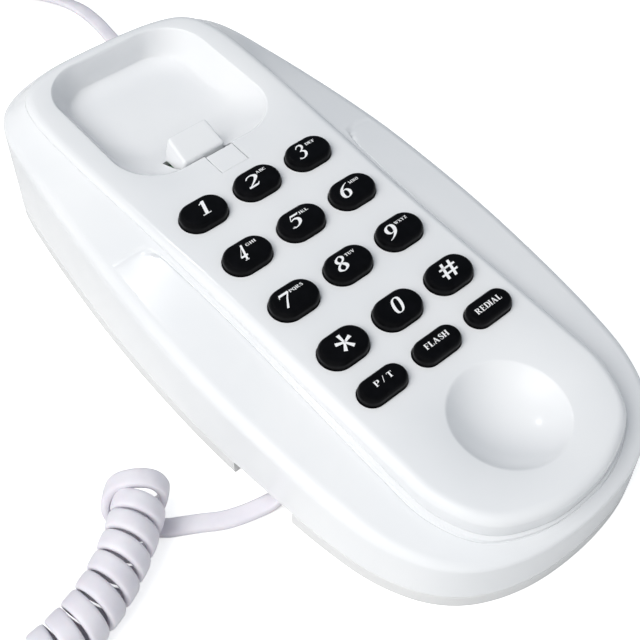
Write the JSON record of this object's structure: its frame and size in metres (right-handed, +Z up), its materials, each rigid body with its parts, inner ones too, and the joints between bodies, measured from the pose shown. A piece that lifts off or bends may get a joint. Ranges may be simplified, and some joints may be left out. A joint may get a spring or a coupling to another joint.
{
  "type": "corded landline phone",
  "caption": "Slim corded desk phone: sloping base with keypad, hook switch and handset cradle, handset lying beside it on its curly cord, flat line cord.",
  "frame": {"origin": "on the desk, under the middle of the base", "axes": "+Z up from the desk, +Y along the base towards its ear end, +X to the right seen from the mouth end"},
  "size_m": [0.2763, 0.3894, 0.0404],
  "materials": {
    "white_housing": "glossy injection-moulded ABS, cool white",
    "black_keys": "satin-gloss black with white printed legends",
    "rubber": "matt black rubber",
    "grey_rubber": "translucent grey silicone",
    "screw_steel": "zinc-plated steel",
    "raw_steel": "plain pressed steel",
    "circuit_board": "green solder mask",
    "component_black": "matt black plastic",
    "contact_metal": "plated contact strip",
    "wire_red": "red insulation",
    "wire_green": "green insulation",
    "wire_yellow": "yellow insulation",
    "clear_plug": "clear polycarbonate",
    "cord_vinyl": "white vinyl with a faint lilac cast",
    "tie_black": "coated twist tie"
  },
  "bodies": {
    "base": {"lower_shell": "white_housing", "upper_shell": "white_housing", "face_plate": "white_housing", "rubber_pads": "rubber", "housing_screws": "screw_steel", "ballast_plate": "raw_steel", "main_board": "circuit_board", "board_components": "component_black", "board_screws": "screw_steel", "keypad_membrane": "grey_rubber", "hook_spring": "screw_steel", "hook_contacts": "contact_metal", "ringer": "component_black", "ringer_wires": "wire_yellow", "handset_jack": "component_black", "handset_jack_wires": "wire_red", "line_jack": "component_black", "line_jack_wires": "wire_green", "line_plug": "clear_plug", "line_cord_lead": "cord_vinyl", "line_cord_coil": "cord_vinyl", "line_cord_tie": "tie_black", "line_cord_end": "cord_vinyl", "wall_plug": "clear_plug", "base_cord_plug": "clear_plug", "base_cord_tail": "cord_vinyl", "curly_cord": "cord_vinyl"},
    "key_1_cap": {"key_1": "black_keys"},
    "key_2_cap": {"key_2": "black_keys"},
    "key_3_cap": {"key_3": "black_keys"},
    "key_4_cap": {"key_4": "black_keys"},
    "key_5_cap": {"key_5": "black_keys"},
    "key_6_cap": {"key_6": "black_keys"},
    "key_7_cap": {"key_7": "black_keys"},
    "key_8_cap": {"key_8": "black_keys"},
    "key_9_cap": {"key_9": "black_keys"},
    "key_star_cap": {"key_star": "black_keys"},
    "key_0_cap": {"key_0": "black_keys"},
    "key_hash_cap": {"key_hash": "black_keys"},
    "key_pulse_tone_cap": {"key_pulse_tone": "black_keys"},
    "key_flash_cap": {"key_flash": "black_keys"},
    "key_redial_cap": {"key_redial": "black_keys"},
    "hook": {"hook_plunger": "white_housing"},
    "hanger": {"hanger_tab": "white_housing"},
    "handset": {"handset_back": "white_housing", "handset_front": "white_housing", "receiver": "component_black", "receiver_gasket": "rubber", "microphone": "raw_steel", "microphone_boot": "rubber", "handset_weight": "raw_steel", "handset_socket": "component_black", "handset_screws": "screw_steel", "handset_wires": "wire_red", "handset_cord_plug": "clear_plug", "handset_cord_tail": "cord_vinyl"}
  },
  "joints": [
    {"name": "key_1_press", "type": "slide", "parent": "base", "child": "key_1_cap", "axis": [0, 0.0663, -0.9978], "range_m": [0, 0.0015], "stiffness_N_per_m": 300},
    {"name": "key_2_press", "type": "slide", "parent": "base", "child": "key_2_cap", "axis": [0, 0.0663, -0.9978], "range_m": [0, 0.0015], "stiffness_N_per_m": 300},
    {"name": "key_3_press", "type": "slide", "parent": "base", "child": "key_3_cap", "axis": [0, 0.0663, -0.9978], "range_m": [0, 0.0015], "stiffness_N_per_m": 300},
    {"name": "key_4_press", "type": "slide", "parent": "base", "child": "key_4_cap", "axis": [0, 0.0663, -0.9978], "range_m": [0, 0.0015], "stiffness_N_per_m": 300},
    {"name": "key_5_press", "type": "slide", "parent": "base", "child": "key_5_cap", "axis": [0, 0.0663, -0.9978], "range_m": [0, 0.0015], "stiffness_N_per_m": 300},
    {"name": "key_6_press", "type": "slide", "parent": "base", "child": "key_6_cap", "axis": [0, 0.0663, -0.9978], "range_m": [0, 0.0015], "stiffness_N_per_m": 300},
    {"name": "key_7_press", "type": "slide", "parent": "base", "child": "key_7_cap", "axis": [0, 0.0663, -0.9978], "range_m": [0, 0.0015], "stiffness_N_per_m": 300},
    {"name": "key_8_press", "type": "slide", "parent": "base", "child": "key_8_cap", "axis": [0, 0.0663, -0.9978], "range_m": [0, 0.0015], "stiffness_N_per_m": 300},
    {"name": "key_9_press", "type": "slide", "parent": "base", "child": "key_9_cap", "axis": [0, 0.0663, -0.9978], "range_m": [0, 0.0015], "stiffness_N_per_m": 300},
    {"name": "key_star_press", "type": "slide", "parent": "base", "child": "key_star_cap", "axis": [0, 0.0663, -0.9978], "range_m": [0, 0.0015], "stiffness_N_per_m": 300},
    {"name": "key_0_press", "type": "slide", "parent": "base", "child": "key_0_cap", "axis": [0, 0.0663, -0.9978], "range_m": [0, 0.0015], "stiffness_N_per_m": 300},
    {"name": "key_hash_press", "type": "slide", "parent": "base", "child": "key_hash_cap", "axis": [0, 0.0663, -0.9978], "range_m": [0, 0.0015], "stiffness_N_per_m": 300},
    {"name": "key_pulse_tone_press", "type": "slide", "parent": "base", "child": "key_pulse_tone_cap", "axis": [0, 0.0663, -0.9978], "range_m": [0, 0.0015], "stiffness_N_per_m": 300},
    {"name": "key_flash_press", "type": "slide", "parent": "base", "child": "key_flash_cap", "axis": [0, 0.0663, -0.9978], "range_m": [0, 0.0015], "stiffness_N_per_m": 300},
    {"name": "key_redial_press", "type": "slide", "parent": "base", "child": "key_redial_cap", "axis": [0, 0.0663, -0.9978], "range_m": [0, 0.0015], "stiffness_N_per_m": 300},
    {"name": "hook_press", "type": "slide", "parent": "base", "child": "hook", "axis": [0, 0.0663, -0.9978], "range_m": [0, 0.0032], "stiffness_N_per_m": 150, "deforming": ["hook_spring"]},
    {"name": "hanger_pull", "type": "slide", "parent": "base", "child": "hanger", "axis": [0, -0.0663, 0.9978], "range_m": [0, 0.009]},
    {"name": "handset_lift", "type": "slide", "parent": "base", "child": "handset", "axis": [0, 0, 1], "range_m": [0, 0.12]}
  ]
}
